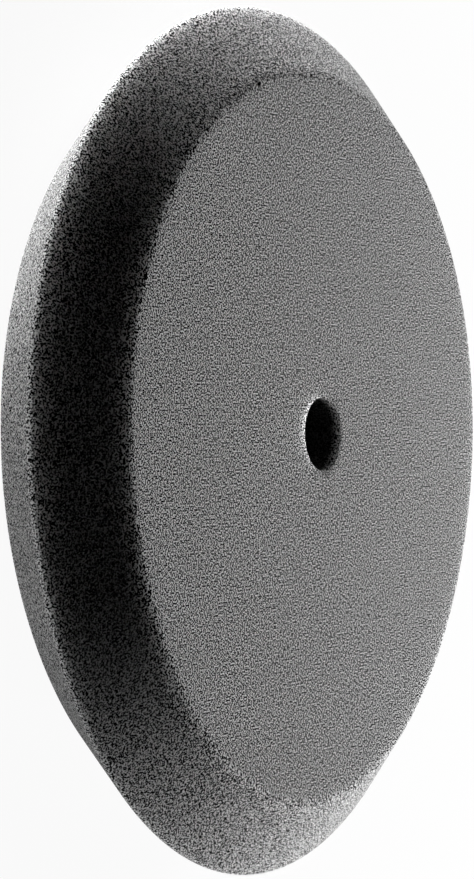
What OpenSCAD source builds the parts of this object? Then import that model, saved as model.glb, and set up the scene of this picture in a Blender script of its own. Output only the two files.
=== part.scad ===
// Foam polishing pad with a bevelled working face and a loop cloth on its back.
// It lies on the cloth at z = 0, and +Z is its spin axis, towards the working face.

/* [Foam] */
// Widest diameter, across the rim
rim_d = 203; // [185:1:230]
// Diameter of the flat working face, inside its rounded edge
face_d = 166; // [120:1:175]
// Diameter of the flat back, inside its rounded edge
back_d = 172; // [150:1:180]
// Thickness of the foam
foam_t = 31; // [24:0.5:50]
// How far the rim lies below the working face
rim_drop = 14; // [8:0.5:18]
// Radius of the rounded rim
rim_r = 1.5; // [0.5:0.5:6]
// Radius of the edge between the working face and the bevel
face_edge_r = 5; // [1:0.5:8]
// Radius of the edge between the side wall and the back
back_edge_r = 1.5; // [0.5:0.5:4]

/* [Centre hole] */
// Diameter of the hole through the foam, the film and the cloth
hole_d = 17; // [8:0.5:40]

/* [Fastening] */
// How far the cloth's cut edge lies inside the flat back
cloth_inset = 3.5; // [1:0.5:20]
// Thickness of the loop cloth, with its pile
cloth_t = 1.7; // [1:0.1:4]
// Thickness of the adhesive film
film_t = 0.3; // [0.1:0.05:1]

/* [Hidden] */
$fn = 180;

// Steps in each rounded edge of the foam's outline
arc_steps = 10;

// The cloth lies lowest, then the film, then the foam
film_z = cloth_t;
foam_z = film_z + film_t;
cloth_d = back_d - 2 * cloth_inset;

// Centres of the foam's rounded edges, as radius and height above its back
back_edge = [back_d / 2, back_edge_r];
rim_edge = [rim_d / 2 - rim_r, foam_t - rim_drop];
face_edge = [face_d / 2, foam_t - face_edge_r];

// Direction in which the straight stretch from one rounded edge to the next faces
function facing(from, from_r, to, to_r) =
    atan2(to.y - from.y, to.x - from.x) - acos((from_r - to_r) / norm(to - from));

// Points round a rounded edge, from one direction to another
function edge_points(centre, r, start, end) = [
    for (i = [0 : arc_steps])
        let (a = start + (end - start) * i / arc_steps)
        centre + r * [cos(a), sin(a)]
];

wall_facing = facing(back_edge, back_edge_r, rim_edge, rim_r);
bevel_facing = facing(rim_edge, rim_r, face_edge, face_edge_r);

// Half of the foam's cross-section: back, side wall, rim, bevel and working face
module foam_outline() {
    polygon(concat(
        [[hole_d / 2, 0]],
        edge_points(back_edge, back_edge_r, -90, wall_facing),
        edge_points(rim_edge, rim_r, wall_facing, bevel_facing),
        edge_points(face_edge, face_edge_r, bevel_facing, 90),
        [[hole_d / 2, foam_t]]
    ));
}

// A round with the centre hole through it
module round_with_hole(d, t) {
    rotate_extrude() translate([hole_d / 2, 0]) square([(d - hole_d) / 2, t]);
}

// Open-cell foam body
module foam_pad() {
    color("#7d7d7d") translate([0, 0, foam_z]) rotate_extrude() foam_outline();
}

// Hot-melt film that joins the cloth to the foam
module bond_film() {
    color("#c8c3b4") translate([0, 0, film_z]) round_with_hole(cloth_d, film_t);
}

// Loop cloth of the hook-and-loop fastening
module loop_backing() {
    color("#2b2b2d") round_with_hole(cloth_d, cloth_t);
}

foam_pad();
bond_film();
loop_backing();
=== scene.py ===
import functools
import math

import bpy
from mathutils import Matrix, Vector


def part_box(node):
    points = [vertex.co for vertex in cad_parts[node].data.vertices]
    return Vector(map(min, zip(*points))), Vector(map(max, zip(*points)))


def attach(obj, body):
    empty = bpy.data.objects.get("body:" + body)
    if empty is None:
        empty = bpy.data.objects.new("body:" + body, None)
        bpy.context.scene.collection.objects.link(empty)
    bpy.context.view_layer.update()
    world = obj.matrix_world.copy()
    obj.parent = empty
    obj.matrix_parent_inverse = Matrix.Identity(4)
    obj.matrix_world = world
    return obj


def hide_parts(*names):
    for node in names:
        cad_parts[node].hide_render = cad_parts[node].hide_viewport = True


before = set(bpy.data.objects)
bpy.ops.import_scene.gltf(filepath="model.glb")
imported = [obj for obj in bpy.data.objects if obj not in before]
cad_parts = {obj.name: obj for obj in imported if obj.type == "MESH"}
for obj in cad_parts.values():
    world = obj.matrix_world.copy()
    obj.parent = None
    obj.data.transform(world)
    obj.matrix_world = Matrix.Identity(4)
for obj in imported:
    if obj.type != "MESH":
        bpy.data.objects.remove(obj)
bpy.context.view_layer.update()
print("frame loaded")

mm = 0.001


# small helpers

def hexToLinear(code):
    parts = [int(code[i:i + 2], 16) / 255 for i in (1, 3, 5)]
    return tuple(p / 12.92 if p <= 0.04045 else ((p + 0.055) / 1.055) ** 2.4 for p in parts) + (1.0,)


def addNode(tree, kind, links=None, **settings):
    node = tree.nodes.new(kind)
    for name, value in settings.items():
        setattr(node, name, value)
    for socket, value in (links or {}).items():
        if isinstance(value, bpy.types.NodeSocket):
            tree.links.new(value, node.inputs[socket])
        else:
            node.inputs[socket].default_value = value
    return node


def newMaterial(name):
    material = bpy.data.materials.new(name)
    material.use_nodes = True
    material.node_tree.nodes.clear()
    return material, material.node_tree


def newTree(name, sizes):
    tree = bpy.data.node_groups.new(name, "GeometryNodeTree")
    tree.interface.new_socket("Geometry", in_out="OUTPUT", socket_type="NodeSocketGeometry")
    tree.interface.new_socket("Geometry", in_out="INPUT", socket_type="NodeSocketGeometry")
    for label, kind in sizes.items():
        tree.interface.new_socket(label, in_out="INPUT", socket_type=kind)
    return tree, tree.nodes.new("NodeGroupInput").outputs


def runTree(piece, tree, values):
    # runs a tree on a piece, and leaves a plain mesh
    modifier = piece.modifiers.new(tree.name, "NODES")
    modifier.node_group = tree
    for item in tree.interface.items_tree:
        if item.in_out == "INPUT" and item.name in values:
            modifier[item.identifier] = values[item.name]
    bpy.context.view_layer.update()
    graph = bpy.context.evaluated_depsgraph_get()
    mesh = bpy.data.meshes.new_from_object(piece.evaluated_get(graph), depsgraph=graph)
    piece.modifiers.clear()
    piece.data = mesh
    return piece


def newPiece(name, mesh):
    piece = bpy.data.objects.new(name, mesh)
    bpy.context.scene.collection.objects.link(piece)
    return piece


# sizes read from the frame

def cadOutline(node):
    # (radius, height) of every corner of a turned CAD node
    return [(math.hypot(v.co.x, v.co.y), v.co.z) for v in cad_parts[node].data.vertices]


def widestAt(outline, height):
    return max(r for r, z in outline if abs(z - height) < 0.01 * mm)


foamOutline = cadOutline("foam_pad")
foamLow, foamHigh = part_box("foam_pad")
clothLow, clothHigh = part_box("loop_backing")
rimRadius, rimHeight = max(foamOutline)
holeRadius = min(foamOutline)[0]
faceRadius = widestAt(foamOutline, foamHigh.z)
backRadius = widestAt(foamOutline, foamLow.z)
clothRadius = widestAt(cadOutline("loop_backing"), clothLow.z)
clothHole = min(cadOutline("loop_backing"))[0]


# materials

foamLook = {
    "struts": "#e6e6e6",  # tips of the cell walls, which catch the light
    "pores": "#000000",  # the shade inside the open cells
    "cellSize": 0.375 * mm,
    "poreSpread": (0.48, 0.58),  # where in the noise a pore ends and a strut begins
    "softerBy": 0.09,  # the bevel and the wall are cut smoother than the face
    "poreDepth": 0.1 * mm,
    "scatter": 0.7,
    "glow": 11.0 * mm,
    "glint": 0.3,  # specular level of a strut tip
    "fuzz": 0.25,  # sheen of the frayed cell walls
    "edgeGain": 0.35,  # how much lighter the painted highlight makes the rim and the face's edge
    # painted shade: how dark the colour gets deep inside the hole
    "holeShade": 0.06,
}


def openCellFoam():
    # open-cell polyurethane foam, cut by hot wire: dead matt, peppered with pores, and soft at the edges where light
    # leaks through the cells; a painted highlight lightens the rim and the face's edge, and painted shade darkens the
    # hole
    material, tree = newMaterial("openCellFoam")
    place = addNode(tree, "ShaderNodeTexCoord").outputs["Object"]
    cells = addNode(tree, "ShaderNodeTexNoise", {"Vector": place, "Scale": 1 / foamLook["cellSize"], "Detail": 0.0})
    low, high = foamLook["poreSpread"]
    softer = addNode(tree, "ShaderNodeAttribute", attribute_name="offFace").outputs["Fac"]
    low = addNode(tree, "ShaderNodeMath", {0: softer, 1: -foamLook["softerBy"], 2: low}, operation="MULTIPLY_ADD")
    high = addNode(tree, "ShaderNodeMath", {0: softer, 1: foamLook["softerBy"], 2: high}, operation="MULTIPLY_ADD")
    strut = addNode(tree, "ShaderNodeMapRange", {"Value": cells.outputs[0], "From Min": low.outputs[0],
                                                 "From Max": high.outputs[0]})
    mix = addNode(tree, "ShaderNodeMix", {0: strut.outputs[0], 6: hexToLinear(foamLook["pores"]),
                                          7: hexToLinear(foamLook["struts"])}, data_type="RGBA")
    # painted highlight: the rim and the face's edge are made lighter in the colour
    edge = addNode(tree, "ShaderNodeAttribute", attribute_name="edge").outputs["Fac"]
    # painted shade: the colour darkens deeper inside the hole
    depth = addNode(tree, "ShaderNodeAttribute", attribute_name="holeShadeMask").outputs["Fac"]
    gain = addNode(tree, "ShaderNodeMath", {0: edge, 1: foamLook["edgeGain"], 2: 1.0}, operation="MULTIPLY_ADD")
    paintedShade = addNode(tree, "ShaderNodeMapRange", {"Value": depth, "To Min": 1.0, "To Max": foamLook["holeShade"]})
    gain = addNode(tree, "ShaderNodeMath", {0: gain.outputs[0], 1: paintedShade.outputs[0]}, operation="MULTIPLY")
    colour = addNode(tree, "ShaderNodeVectorMath", {0: mix.outputs[2], "Scale": gain.outputs[0]}, operation="SCALE")
    glint = addNode(tree, "ShaderNodeMath", {0: strut.outputs[0], 1: foamLook["glint"]}, operation="MULTIPLY")
    bump = addNode(tree, "ShaderNodeBump",
                   {"Height": cells.outputs[0], "Distance": foamLook["poreDepth"], "Strength": 1.0})
    surface = addNode(tree, "ShaderNodeBsdfPrincipled",
                      {"Base Color": colour.outputs[0], "Normal": bump.outputs["Normal"], "Roughness": 0.95,
                       "Specular IOR Level": glint.outputs[0], "Subsurface Weight": foamLook["scatter"],
                       "Subsurface Scale": foamLook["glow"], "Subsurface Radius": (1.0, 1.0, 1.0),
                       "Sheen Weight": foamLook["fuzz"], "Sheen Roughness": 0.6, "Sheen Tint": colour.outputs[0]})
    addNode(tree, "ShaderNodeOutputMaterial", {"Surface": surface.outputs[0]})
    return material


clothLook = {
    "yarn": "#2e2e31",
    "yarnLight": "#515156",
    "clump": 2.2 * mm,  # patches of pile that lean the same way
    "fibre": 0.25 * mm,
    "wale": 1.1 * mm,  # one column of knitted stitches, drawn coarser than the real 0.7 mm so that it shows
    "course": 0.9 * mm,
    "stitchDepth": 0.12 * mm,
}


def loopPile():
    # brushed polyamide yarn: soft and dull, with a pale sheen where the fibres are seen edge on
    material, tree = newMaterial("loopPile")
    place = addNode(tree, "ShaderNodeTexCoord").outputs["Object"]
    clumps = addNode(tree, "ShaderNodeTexNoise", {"Vector": place, "Scale": 1 / clothLook["clump"], "Detail": 2.0})
    fibres = addNode(tree, "ShaderNodeTexNoise", {"Vector": place, "Scale": 1 / clothLook["fibre"], "Detail": 1.0})
    both = addNode(tree, "ShaderNodeMath", {0: clumps.outputs[0], 1: fibres.outputs[0]}, operation="ADD")
    share = addNode(tree, "ShaderNodeMapRange", {"Value": both.outputs[0], "From Min": 0.75, "From Max": 1.25})
    mix = addNode(tree, "ShaderNodeMix", {0: share.outputs[0], 6: hexToLinear(clothLook["yarn"]),
                                          7: hexToLinear(clothLook["yarnLight"])}, data_type="RGBA")
    surface = addNode(tree, "ShaderNodeBsdfPrincipled",
                      {"Base Color": mix.outputs[2], "Roughness": 0.85, "Specular IOR Level": 0.3,
                       "Sheen Weight": 0.3, "Sheen Roughness": 0.4})
    addNode(tree, "ShaderNodeOutputMaterial", {"Surface": surface.outputs[0]})
    return material


def warpKnit():
    # polyamide warp knit: rows of small stitches, darker in the gaps between them
    material, tree = newMaterial("warpKnit")
    place = addNode(tree, "ShaderNodeSeparateXYZ", {0: addNode(tree, "ShaderNodeTexCoord").outputs["Object"]})

    def ribs(along, pitch):
        turn = addNode(tree, "ShaderNodeMath", {0: along, 1: 2 * math.pi / pitch}, operation="MULTIPLY")
        wave = addNode(tree, "ShaderNodeMath", {0: turn.outputs[0]}, operation="SINE")
        return addNode(tree, "ShaderNodeMath", {0: wave.outputs[0], 1: 0.5, 2: 0.5},
                       operation="MULTIPLY_ADD").outputs[0]

    stitch = addNode(tree, "ShaderNodeMath", {0: ribs(place.outputs["X"], clothLook["wale"]),
                                              1: ribs(place.outputs["Y"], clothLook["course"])}, operation="MULTIPLY")
    mix = addNode(tree, "ShaderNodeMix", {0: stitch.outputs[0], 6: hexToLinear(clothLook["yarn"]),
                                          7: hexToLinear(clothLook["yarnLight"])}, data_type="RGBA")
    bump = addNode(tree, "ShaderNodeBump", {"Height": stitch.outputs[0], "Distance": clothLook["stitchDepth"]})
    surface = addNode(tree, "ShaderNodeBsdfPrincipled",
                      {"Base Color": mix.outputs[2], "Normal": bump.outputs["Normal"], "Roughness": 0.9,
                       "Specular IOR Level": 0.3, "Sheen Weight": 0.2})
    addNode(tree, "ShaderNodeOutputMaterial", {"Surface": surface.outputs[0]})
    return material


filmLook = {
    "resin": "#c8c3b4",
    "thin": "#a9a392",
    "mottle": 4.0 * mm,
    "ripple": 0.05 * mm,
}


def hotMeltFilm():
    # polyamide hot-melt film, set from a melt: milky, half shiny and a little rippled
    material, tree = newMaterial("hotMeltFilm")
    place = addNode(tree, "ShaderNodeTexCoord").outputs["Object"]
    mottle = addNode(tree, "ShaderNodeTexNoise", {"Vector": place, "Scale": 1 / filmLook["mottle"], "Detail": 3.0})
    mix = addNode(tree, "ShaderNodeMix", {0: mottle.outputs[0], 6: hexToLinear(filmLook["thin"]),
                                          7: hexToLinear(filmLook["resin"])}, data_type="RGBA")
    shine = addNode(tree, "ShaderNodeMapRange", {"Value": mottle.outputs[0], "To Min": 0.35, "To Max": 0.6})
    bump = addNode(tree, "ShaderNodeBump", {"Height": mottle.outputs[0], "Distance": filmLook["ripple"]})
    surface = addNode(tree, "ShaderNodeBsdfPrincipled",
                      {"Base Color": mix.outputs[2], "Roughness": shine.outputs[0], "Normal": bump.outputs["Normal"],
                       "IOR": 1.5})
    addNode(tree, "ShaderNodeOutputMaterial", {"Surface": surface.outputs[0]})
    return material


# foam

foamShape = {
    "rimRound": 1.2 * mm,
    "faceEdgeRound": 5.0 * mm,
    "backEdgeRound": 1.5 * mm,
    "segments": 720,
    "ovalness": -1.45 * mm,  # how far the soft rim is out of round, as an oval
    "threeLobes": 0.9 * mm,  # and as a rounded triangle
    "edgeWidth": 0.9 * mm,  # width of the painted highlight along the rim
    "faceHighlightShare": 0.3,  # how strong the painted highlight on the face's edge is, beside the rim's
    "holeShadeFade": 1.2 * mm,  # how far into the hole the painted shade takes to reach full strength
}


def arcPoints(centre, radius, start, end, steps):
    angles = [start + (end - start) * i / steps for i in range(steps + 1)]
    return [(centre[0] + radius * math.cos(a), centre[1] + radius * math.sin(a)) for a in angles]


def facing(first, firstRound, second, secondRound):
    run = math.atan2(second[1] - first[1], second[0] - first[0])
    return run - math.acos((firstRound - secondRound) / math.dist(first, second))


def between(first, second, steps):
    return [tuple(a + (b - a) * i / steps for a, b in zip(first, second)) for i in range(1, steps)]


def foamSection():
    # the closed half section, from the hole's lower edge round the outside and back down the hole
    rim = (rimRadius - foamShape["rimRound"], rimHeight)
    faceEdge = (faceRadius, foamHigh.z - foamShape["faceEdgeRound"])
    backEdge = (backRadius, foamLow.z + foamShape["backEdgeRound"])
    wallFacing = facing(backEdge, foamShape["backEdgeRound"], rim, foamShape["rimRound"])
    bevelFacing = facing(rim, foamShape["rimRound"], faceEdge, foamShape["faceEdgeRound"])
    lowerLip, upperLip = (holeRadius, foamLow.z), (holeRadius, foamHigh.z)
    backArc = arcPoints(backEdge, foamShape["backEdgeRound"], -math.pi / 2, wallFacing, 5)
    rimArc = arcPoints(rim, foamShape["rimRound"], wallFacing, bevelFacing, 9)
    faceArc = arcPoints(faceEdge, foamShape["faceEdgeRound"], bevelFacing, math.pi / 2, 7)
    points = ([lowerLip] + between(lowerLip, backArc[0], 10) + backArc + between(backArc[-1], rimArc[0], 16) + rimArc
              + between(rimArc[-1], faceArc[0], 16) + faceArc + between(faceArc[-1], upperLip, 40) + [upperLip]
              + between(upperLip, lowerLip, 14))
    return points[::-1]  # this way round, the turned faces look outwards


def sectionMesh(name, points, marks):
    # marks are named amounts, each worked out at every point of the section
    mesh = bpy.data.meshes.new(name)
    edges = [(i, (i + 1) % len(points)) for i in range(len(points))]
    mesh.from_pydata([(r, 0, z) for r, z in points], edges, [])
    for label, amount in marks.items():
        mesh.attributes.new(label, "FLOAT", "POINT").data.foreach_set("value", [amount(r, z) for r, z in points])
    return mesh


def edgeHighlightMask(r, z):
    # painted highlight: 1 on the rim, less on the face's edge, nothing a couple of millimetres off
    rounding = foamShape["faceEdgeRound"]
    rim = math.dist((r, z), (rimRadius, rimHeight)) / foamShape["edgeWidth"]
    face = math.dist((r, z), (faceRadius + 0.6 * rounding, foamHigh.z - 0.2 * rounding))
    face /= 2 * foamShape["edgeWidth"]
    return max(math.exp(-rim * rim), foamShape["faceHighlightShare"] * math.exp(-face * face))


def holeShadeMask(r, z):
    # painted shade: 0 at the lips of the hole, 1 further inside
    depth = min(foamHigh.z - z, z - foamLow.z) if r < holeRadius + 0.01 * mm else 0
    return min(depth / foamShape["holeShadeFade"], 1)


def offFace(r, z):
    # 0 on the working face, 1 on everything below its edge
    return min(max((foamHigh.z - z) / (0.6 * foamShape["faceEdgeRound"]), 0), 1)


def turningTree():
    # turns a closed half section round the Z axis, then lets the soft outside run a little out of round
    tree, sizes = newTree("turning", {
        "segments": "NodeSocketInt", "rim": "NodeSocketFloat", "ovalness": "NodeSocketFloat",
        "three lobes": "NodeSocketFloat", "material": "NodeSocketMaterial"})
    add = functools.partial(addNode, tree)
    here = add("ShaderNodeSeparateXYZ", {0: add("GeometryNodeInputPosition").outputs[0]}).outputs
    section = sizes["Geometry"]
    for name, value in (("reach", here["X"]), ("height", here["Z"])):
        section = add("GeometryNodeStoreNamedAttribute", {"Geometry": section, "Name": name, "Value": value},
                      data_type="FLOAT", domain="POINT").outputs[0]
    section = add("GeometryNodeMeshToCurve", {"Mesh": section}).outputs[0]
    path = add("GeometryNodeCurvePrimitiveCircle", {"Resolution": sizes["segments"], "Radius": 1.0}).outputs[0]
    angle = add("ShaderNodeMath", {0: here["Y"], 1: here["X"]}, operation="ARCTAN2").outputs[0]
    path = add("GeometryNodeStoreNamedAttribute", {"Geometry": path, "Name": "turn", "Value": angle},
               data_type="FLOAT", domain="POINT").outputs[0]
    turned = add("GeometryNodeCurveToMesh", {"Curve": path, "Profile Curve": section}).outputs[0]
    stored = {name: add("GeometryNodeInputNamedAttribute", {"Name": name}, data_type="FLOAT").outputs[0]
              for name in ("turn", "reach", "height")}
    swell = 0.0
    for count, side, size in ((2, "SINE", "ovalness"), (3, "COSINE", "three lobes")):
        angle = add("ShaderNodeMath", {0: stored["turn"], 1: count}, operation="MULTIPLY").outputs[0]
        wave = add("ShaderNodeMath", {0: angle}, operation=side).outputs[0]
        swell = add("ShaderNodeMath", {0: wave, 1: sizes[size], 2: swell}, operation="MULTIPLY_ADD").outputs[0]
    share = add("ShaderNodeMath", {0: stored["reach"], 1: sizes["rim"]}, operation="DIVIDE").outputs[0]
    reach = add("ShaderNodeMath", {0: swell, 1: share, 2: stored["reach"]}, operation="MULTIPLY_ADD").outputs[0]
    spot = {2: stored["height"]}
    for socket, side in enumerate(("COSINE", "SINE")):
        unit = add("ShaderNodeMath", {0: stored["turn"]}, operation=side).outputs[0]
        spot[socket] = add("ShaderNodeMath", {0: unit, 1: reach}, operation="MULTIPLY").outputs[0]
    place = add("ShaderNodeCombineXYZ", spot).outputs[0]
    shaped = add("GeometryNodeSetPosition", {"Geometry": turned, "Position": place}).outputs[0]
    smooth = add("GeometryNodeSetShadeSmooth", {"Geometry": shaped}).outputs[0]
    real = add("GeometryNodeRealizeInstances", {"Geometry": smooth}).outputs[0]
    done = add("GeometryNodeSetMaterial", {"Geometry": real, "Material": sizes["material"]}).outputs[0]
    add("NodeGroupOutput", {"Geometry": done})
    return tree


turning = turningTree()
marks = {"edge": edgeHighlightMask, "holeShadeMask": holeShadeMask, "offFace": offFace}
foam = newPiece("foam", sectionMesh("foam", foamSection(), marks))
runTree(foam, turning, {"segments": foamShape["segments"], "rim": rimRadius, "ovalness": foamShape["ovalness"],
                        "three lobes": foamShape["threeLobes"], "material": openCellFoam()})
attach(foam, "root")
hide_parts("foam_pad")
print("foam made", len(foam.data.vertices), "points")


# fastening cloth

clothShape = {
    "knitThick": 0.5 * mm,
    "edgeRound": 0.15 * mm,
    "segments": 360,
    "loopSpacing": 0.9 * mm,
    "mostPerArea": 2.0e6,  # loops tried per square metre, before the ones too close together go
    "loopWidth": 1.3 * mm,
    "yarn": 0.24 * mm,
    "lean": 25.0,  # degrees, at most
    "seed": 4,
}


def clothSection():
    low, high = clothHigh.z - clothShape["knitThick"], clothHigh.z
    rounding = clothShape["edgeRound"]
    outer = arcPoints((clothRadius - rounding, low + rounding), rounding, -math.pi / 2, 0, 3)
    inner = arcPoints((clothHole + rounding, low + rounding), rounding, math.pi, 1.5 * math.pi, 3)
    points = (inner + between(inner[-1], outer[0], 30) + outer + [(clothRadius, high)]
              + between((clothRadius, high), (clothHole, high), 8) + [(clothHole, high)])
    return points[::-1]


def pileTree():
    # strews small yarn loops over the underside of the knit, each turned and leaning its own way
    tree, sizes = newTree("pile", {
        "spacing": "NodeSocketFloat", "most per area": "NodeSocketFloat", "loop width": "NodeSocketFloat",
        "loop height": "NodeSocketFloat", "yarn": "NodeSocketFloat", "lean": "NodeSocketFloat",
        "seed": "NodeSocketInt", "material": "NodeSocketMaterial"})
    add = functools.partial(addNode, tree)
    facing = add("ShaderNodeSeparateXYZ", {0: add("GeometryNodeInputNormal").outputs[0]}).outputs["Z"]
    under = add("FunctionNodeCompare", {0: facing, 1: -0.9}, operation="LESS_THAN").outputs[0]
    spots = add("GeometryNodeDistributePointsOnFaces",
                {"Mesh": sizes["Geometry"], "Selection": under, "Distance Min": sizes["spacing"],
                 "Density Max": sizes["most per area"], "Seed": sizes["seed"]}, distribute_method="POISSON")
    halfWidth = add("ShaderNodeMath", {0: sizes["loop width"], 1: 0.5}, operation="MULTIPLY").outputs[0]
    halfYarn = add("ShaderNodeMath", {0: sizes["yarn"], 1: 0.5}, operation="MULTIPLY").outputs[0]
    bow = add("GeometryNodeCurveArc", {"Resolution": 5, "Radius": 1.0, "Start Angle": math.pi,
                                       "Sweep Angle": math.pi}).outputs[0]
    stretch = add("ShaderNodeCombineXYZ", {0: halfWidth, 1: sizes["loop height"], 2: 1.0}).outputs[0]
    bow = add("GeometryNodeTransform", {"Geometry": bow, "Scale": stretch}).outputs[0]
    bow = add("GeometryNodeTransform", {"Geometry": bow, "Rotation": (math.pi / 2, 0, 0)}).outputs[0]
    strand = add("GeometryNodeCurvePrimitiveCircle", {"Resolution": 3, "Radius": halfYarn}).outputs[0]
    loop = add("GeometryNodeCurveToMesh", {"Curve": bow, "Profile Curve": strand, "Fill Caps": True}).outputs[0]
    backLean = add("ShaderNodeMath", {0: sizes["lean"], 1: -1.0}, operation="MULTIPLY").outputs[0]
    chance = []
    for low, high in ((backLean, sizes["lean"]), (0.0, 2 * math.pi), (0.8, 1.0)):  # lean, turn and size
        seed = add("ShaderNodeMath", {0: sizes["seed"], 1: len(chance) + 1}, operation="ADD").outputs[0]
        chance.append(add("FunctionNodeRandomValue", {2: low, 3: high, 8: seed}, data_type="FLOAT").outputs[1])
    turn = add("ShaderNodeCombineXYZ", {0: chance[0], 1: 0.0, 2: chance[1]}).outputs[0]
    strewn = add("GeometryNodeInstanceOnPoints", {"Points": spots.outputs["Points"], "Instance": loop,
                                                  "Rotation": turn, "Scale": chance[2]}).outputs[0]
    real = add("GeometryNodeRealizeInstances", {"Geometry": strewn}).outputs[0]
    smooth = add("GeometryNodeSetShadeSmooth", {"Geometry": real}).outputs[0]
    done = add("GeometryNodeSetMaterial", {"Geometry": smooth, "Material": sizes["material"]}).outputs[0]
    add("NodeGroupOutput", {"Geometry": done})
    return tree


cloth = newPiece("backingCloth", sectionMesh("backingCloth", clothSection(), {}))
runTree(cloth, turning, {"segments": clothShape["segments"], "rim": rimRadius, "ovalness": 0.0, "three lobes": 0.0,
                         "material": warpKnit()})
pile = newPiece("loopPile", cloth.data.copy())
loopRoom = clothHigh.z - clothShape["knitThick"] - clothLow.z
runTree(pile, pileTree(), {"spacing": clothShape["loopSpacing"], "most per area": clothShape["mostPerArea"],
                           "loop width": clothShape["loopWidth"],
                           "loop height": loopRoom - clothShape["yarn"] / 2, "yarn": clothShape["yarn"],
                           "lean": math.radians(clothShape["lean"]), "seed": clothShape["seed"],
                           "material": loopPile()})
for piece in (cloth, pile):
    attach(piece, "root")
    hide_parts("loop_backing")
print("cloth made", len(cloth.data.vertices), "points, pile", len(pile.data.polygons), "faces")

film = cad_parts["bond_film"]
film.data.materials.clear()
film.data.materials.append(hotMeltFilm())


# floor, lights and camera

studio = {
    "floorDrop": 0.3 * mm,
    "floorSize": 6.0,
    "shadowShare": 0.06,  # how much of the floor's own shading shows
    "ambient": 0.0,  # the room's own light on the pad
    "lampAim": 17 * mm,  # height of the spot that the lamps point at
}


def paperFloor():
    # white paper sweep: it keeps the pad's shadow faintly, and is clear from below
    material, tree = newMaterial("whitePaper")
    paper = addNode(tree, "ShaderNodeBsdfDiffuse", {"Color": hexToLinear("#f2f2f2")})
    white = addNode(tree, "ShaderNodeEmission", {"Color": (1, 1, 1, 1), "Strength": 1.0})
    seen = addNode(tree, "ShaderNodeMixShader", {0: studio["shadowShare"], 1: white.outputs[0], 2: paper.outputs[0]})
    ray = addNode(tree, "ShaderNodeLightPath")
    dull = addNode(tree, "ShaderNodeBsdfDiffuse", {"Color": hexToLinear("#404040")})
    direct = addNode(tree, "ShaderNodeMixShader",
                     {0: ray.outputs["Is Camera Ray"], 1: dull.outputs[0], 2: seen.outputs[0]})
    side = addNode(tree, "ShaderNodeNewGeometry").outputs["Backfacing"]
    clear = addNode(tree, "ShaderNodeBsdfTransparent")
    surface = addNode(tree, "ShaderNodeMixShader", {0: side, 1: direct.outputs[0], 2: clear.outputs[0]})
    addNode(tree, "ShaderNodeOutputMaterial", {"Surface": surface.outputs[0]})
    return material


half = studio["floorSize"] / 2
floorMesh = bpy.data.meshes.new("floor")
level = -studio["floorDrop"]
floorMesh.from_pydata([(-half, -half, level), (half, -half, level), (half, half, level), (-half, half, level)], [],
                      [(0, 1, 2, 3)])
floorMesh.materials.append(paperFloor())
floor = newPiece("floor", floorMesh)
floor.visible_shadow = False

lamps = {
    # turn, rise and distance as seen from the pad, in degrees and metres
    "farSoftbox": {"turn": 90, "rise": 22, "distance": 0.75, "size": (0.22, 0.22), "watts": 6.4},
    "rightSoftbox": {"turn": 33, "rise": 8, "distance": 0.75, "size": (0.22, 0.22), "watts": 5.2},
    "lowSoftbox": {"turn": 270, "rise": -37, "distance": 0.75, "size": (0.22, 0.22), "watts": 1.76},
    "wallSoftbox": {"turn": 187, "rise": -19, "distance": 0.22, "size": (0.09, 0.07), "watts": 0.86},
}


def addLamp(name, turn, rise, distance, size, watts):
    light = bpy.data.lights.new(name, "AREA")
    light.shape = "RECTANGLE"
    light.size, light.size_y = size
    light.energy = watts
    lamp = bpy.data.objects.new(name, light)
    bpy.context.scene.collection.objects.link(lamp)
    turn, rise = math.radians(turn), math.radians(rise)
    away = Vector((math.cos(turn) * math.cos(rise), math.sin(turn) * math.cos(rise), math.sin(rise)))
    lamp.location = Vector((0, 0, studio["lampAim"])) + distance * away
    lamp.rotation_euler = away.to_track_quat("Z", "Y").to_euler()
    lamp.visible_camera = False


for name, lamp in lamps.items():
    addLamp(name, **lamp)

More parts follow.
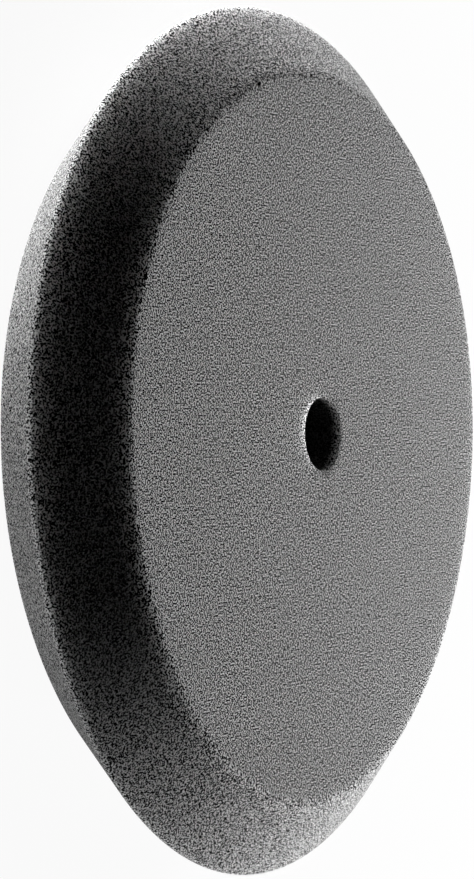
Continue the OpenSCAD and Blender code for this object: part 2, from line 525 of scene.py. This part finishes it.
world = bpy.data.worlds.new("studio")
bpy.context.scene.world = world
world.use_nodes = True
world.node_tree.nodes.clear()
rays = addNode(world.node_tree, "ShaderNodeLightPath").outputs
anyClear = addNode(world.node_tree, "ShaderNodeMath", {0: rays["Is Camera Ray"], 1: rays["Is Glossy Ray"]},
                   operation="MAXIMUM")
anyClear = addNode(world.node_tree, "ShaderNodeMath", {0: anyClear.outputs[0], 1: rays["Is Transmission Ray"]},
                   operation="MAXIMUM")
dim = addNode(world.node_tree, "ShaderNodeBackground", {"Color": (1, 1, 1, 1), "Strength": studio["ambient"]})
bright = addNode(world.node_tree, "ShaderNodeBackground", {"Color": (1, 1, 1, 1), "Strength": 1.0})
both = addNode(world.node_tree, "ShaderNodeMixShader",
               {0: anyClear.outputs[0], 1: dim.outputs[0], 2: bright.outputs[0]})
addNode(world.node_tree, "ShaderNodeOutputWorld", {"Surface": both.outputs[0]})

viewFrom = {
    "tilt": math.radians(60.34),  # from the pad's spin axis to the line of sight
    "roll": math.radians(1.08),
    "unit": 101.5 * mm,  # rim radius, which the next two count in
    "aside": (0.19572, 0.01325),  # where the face's centre lies, right and up
    "away": 6.18414,
    "lens": 73.41,  # for a 24 mm tall sensor
}


def addCamera():
    data = bpy.data.cameras.new("camera")
    data.sensor_fit = "VERTICAL"
    data.sensor_height = 24
    data.lens = viewFrom["lens"]
    data.clip_start, data.clip_end = 0.01, 20
    camera = bpy.data.objects.new("camera", data)
    bpy.context.scene.collection.objects.link(camera)
    tilt, roll = viewFrom["tilt"], viewFrom["roll"]
    back = Vector((0, -math.sin(tilt), math.cos(tilt)))
    along = Vector((0, math.cos(tilt), math.sin(tilt)))  # the spin axis as the camera sees it
    across = back.cross(along)
    right = math.cos(roll) * along - math.sin(roll) * across
    up = math.sin(roll) * along + math.cos(roll) * across
    step = viewFrom["aside"][0] * right + viewFrom["aside"][1] * up - viewFrom["away"] * back
    place = Vector((0, 0, foamHigh.z)) - viewFrom["unit"] * step
    camera.matrix_world = Matrix.Translation(place) @ Matrix((right, up, back)).transposed().to_4x4()
    bpy.context.scene.camera = camera


addCamera()
bpy.context.scene.view_settings.view_transform = "Standard"

print("scene ready")
